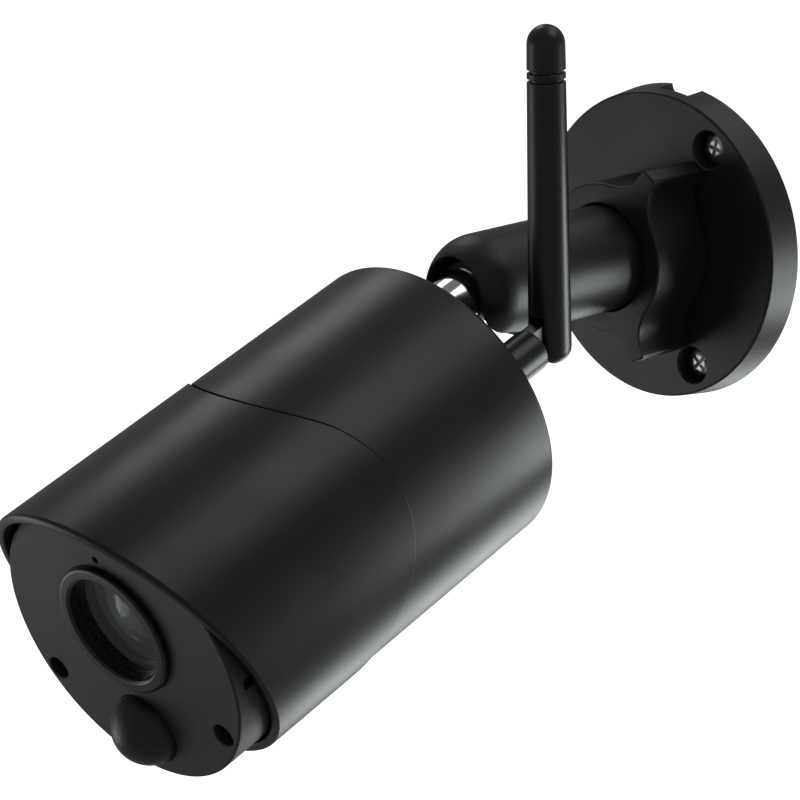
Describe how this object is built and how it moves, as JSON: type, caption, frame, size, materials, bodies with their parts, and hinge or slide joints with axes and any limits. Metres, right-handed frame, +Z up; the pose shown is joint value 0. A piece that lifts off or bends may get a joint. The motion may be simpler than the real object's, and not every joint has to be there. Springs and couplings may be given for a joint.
{
  "type": "security camera",
  "caption": "Wall-mounted outdoor bullet camera: round plate, winged lock nut, ball joint, cylindrical head with sun-shade sleeve, lens, motion sensor and folding rod antenna.",
  "frame": {"origin": "centre of the wall plate's back face, on the wall plane y = 0", "axes": "+Z up along the wall, +Y into the wall, so the mount stands out along -Y and the camera looks along -Y, tipped down and turned a little towards +X"},
  "size_m": [0.0707, 0.1774, 0.1305],
  "materials": {
    "shell_black": "fine satin moulded plastic, black",
    "sleeve_black": "fine satin moulded plastic, black",
    "mount_black": "fine matt moulded plastic, black",
    "nut_black": "fine matt moulded plastic, black",
    "face_grey": "flat satin front, dark grey",
    "bezel_black": "smooth semi-gloss black",
    "window_glass": "clear flat cover glass",
    "lens_black": "matt black inside the lens",
    "lens_glass": "coated lens glass with a faint green and violet reflection",
    "dome_plastic": "glossy smoked plastic",
    "chrome": "polished chrome plate",
    "screw_steel": "bright zinc-plated steel",
    "screw_black": "black-finished steel",
    "rubber_black": "soft matt rubber",
    "board_green": "solder-masked circuit board",
    "chip_black": "moulded chip package",
    "can_steel": "thin tinned steel",
    "lamp_dark": "dark tinted lamp body",
    "clear_plastic": "clear moulded plastic",
    "cell_sleeve": null,
    "cradle_white": "plain moulded plastic, off-white",
    "brass": "turned brass",
    "knob_white": "small moulded knob, white",
    "antenna_black": "smooth satin moulded plastic, black",
    "coax_grey": "thin jacketed lead"
  },
  "bodies": {
    "mount_base": {"wall_plate": "mount_black", "wall_screws": "screw_steel"},
    "lock_nut": {"lock_nut": "nut_black"},
    "arm": {"ball_arm": "mount_black", "pressure_plunger": "cradle_white"},
    "stud": {"ball_stud": "chrome"},
    "head": {"rear_housing": "shell_black", "front_sleeve": "sleeve_black", "face_plate": "face_grey", "face_gasket": "rubber_black", "face_screws": "screw_black", "lens_bezel": "bezel_black", "lens_window": "window_glass", "lens_barrel": "lens_black", "front_element": "lens_glass", "rear_element": "lens_glass", "lens_holder": "lens_black", "sensor_board": "board_green", "image_sensor": "chip_black", "pir_dome": "dome_plastic", "pir_sensor": "can_steel", "led_board": "board_green", "ir_leds": "lamp_dark", "microphone": "can_steel", "light_pipe": "clear_plastic", "main_board": "board_green", "processor": "chip_black", "wifi_module": "can_steel", "capacitors": "can_steel", "battery_cells": "cell_sleeve", "cell_cradle": "cradle_white", "board_screws": "screw_steel", "speaker": "chip_black", "stud_insert": "brass", "port_board": "board_green", "usb_socket": "can_steel", "power_switch": "can_steel", "reset_switch": "can_steel", "card_socket": "can_steel", "antenna_jack": "brass", "antenna_coax": "coax_grey"},
    "filter": {"ir_cut_filter": "lens_glass"},
    "switch_knob": {"switch_knob": "knob_white"},
    "reset_button": {"reset_button": "knob_white"},
    "memory_card": {"memory_card": "chip_black"},
    "port_cover": {"port_cover": "rubber_black"},
    "antenna_foot": {"antenna_base": "antenna_black"},
    "antenna": {"antenna_pin": "screw_steel", "antenna_rod": "antenna_black", "antenna_cap": "antenna_black", "antenna_radiator": "brass"}
  },
  "joints": [
    {"name": "lock_nut_turn", "type": "hinge", "parent": "mount_base", "child": "lock_nut", "pos_m": [0, -0.0155, 0], "axis": [0, -1, 0], "range_deg": [-360, 0]},
    {"name": "arm_swivel", "type": "hinge", "parent": "mount_base", "child": "arm", "pos_m": [0, -0.0587, 0], "axis": [0, -1, 0], "range_deg": [-180, 180]},
    {"name": "ball_tilt", "type": "hinge", "parent": "arm", "child": "stud", "pos_m": [0, -0.0587, 0], "axis": [0.9978, 0.0663, 0], "range_deg": [-21, 60]},
    {"name": "head_turn", "type": "hinge", "parent": "stud", "child": "head", "pos_m": [0, -0.0587, 0], "axis": [0.0631, -0.9495, -0.3074], "range_deg": [-180, 180]},
    {"name": "antenna_swivel", "type": "hinge", "parent": "head", "child": "antenna_foot", "pos_m": [0.01992, -0.06853, -0.00915], "axis": [0.0631, -0.9495, -0.3074], "range_deg": [-180, 20]},
    {"name": "antenna_fold", "type": "hinge", "parent": "antenna_foot", "child": "antenna", "pos_m": [0.01927, -0.05884, -0.00602], "axis": [-0.998, -0.0606, -0.0174], "range_deg": [-16.7, 45]},
    {"name": "port_cover_hinge", "type": "hinge", "parent": "head", "child": "port_cover", "pos_m": [0.00161, -0.10064, -0.0624], "axis": [-0.997, -0.074, 0.0241], "range_deg": [0, 100]},
    {"name": "power_switch_slide", "type": "slide", "parent": "head", "child": "switch_knob", "axis": [0.997, 0.074, -0.0241], "range_m": [0, 0.0021]},
    {"name": "reset_push", "type": "slide", "parent": "head", "child": "reset_button", "axis": [0.0456, -0.3049, 0.9513], "range_m": [0, 0.0005], "stiffness_N_per_m": 200},
    {"name": "card_eject", "type": "slide", "parent": "head", "child": "memory_card", "axis": [-0.0631, 0.9495, 0.3074], "range_m": [0, 0.003]},
    {"name": "filter_slide", "type": "slide", "parent": "head", "child": "filter", "axis": [0.997, 0.074, -0.0241], "range_m": [0, 0.007]}
  ]
}
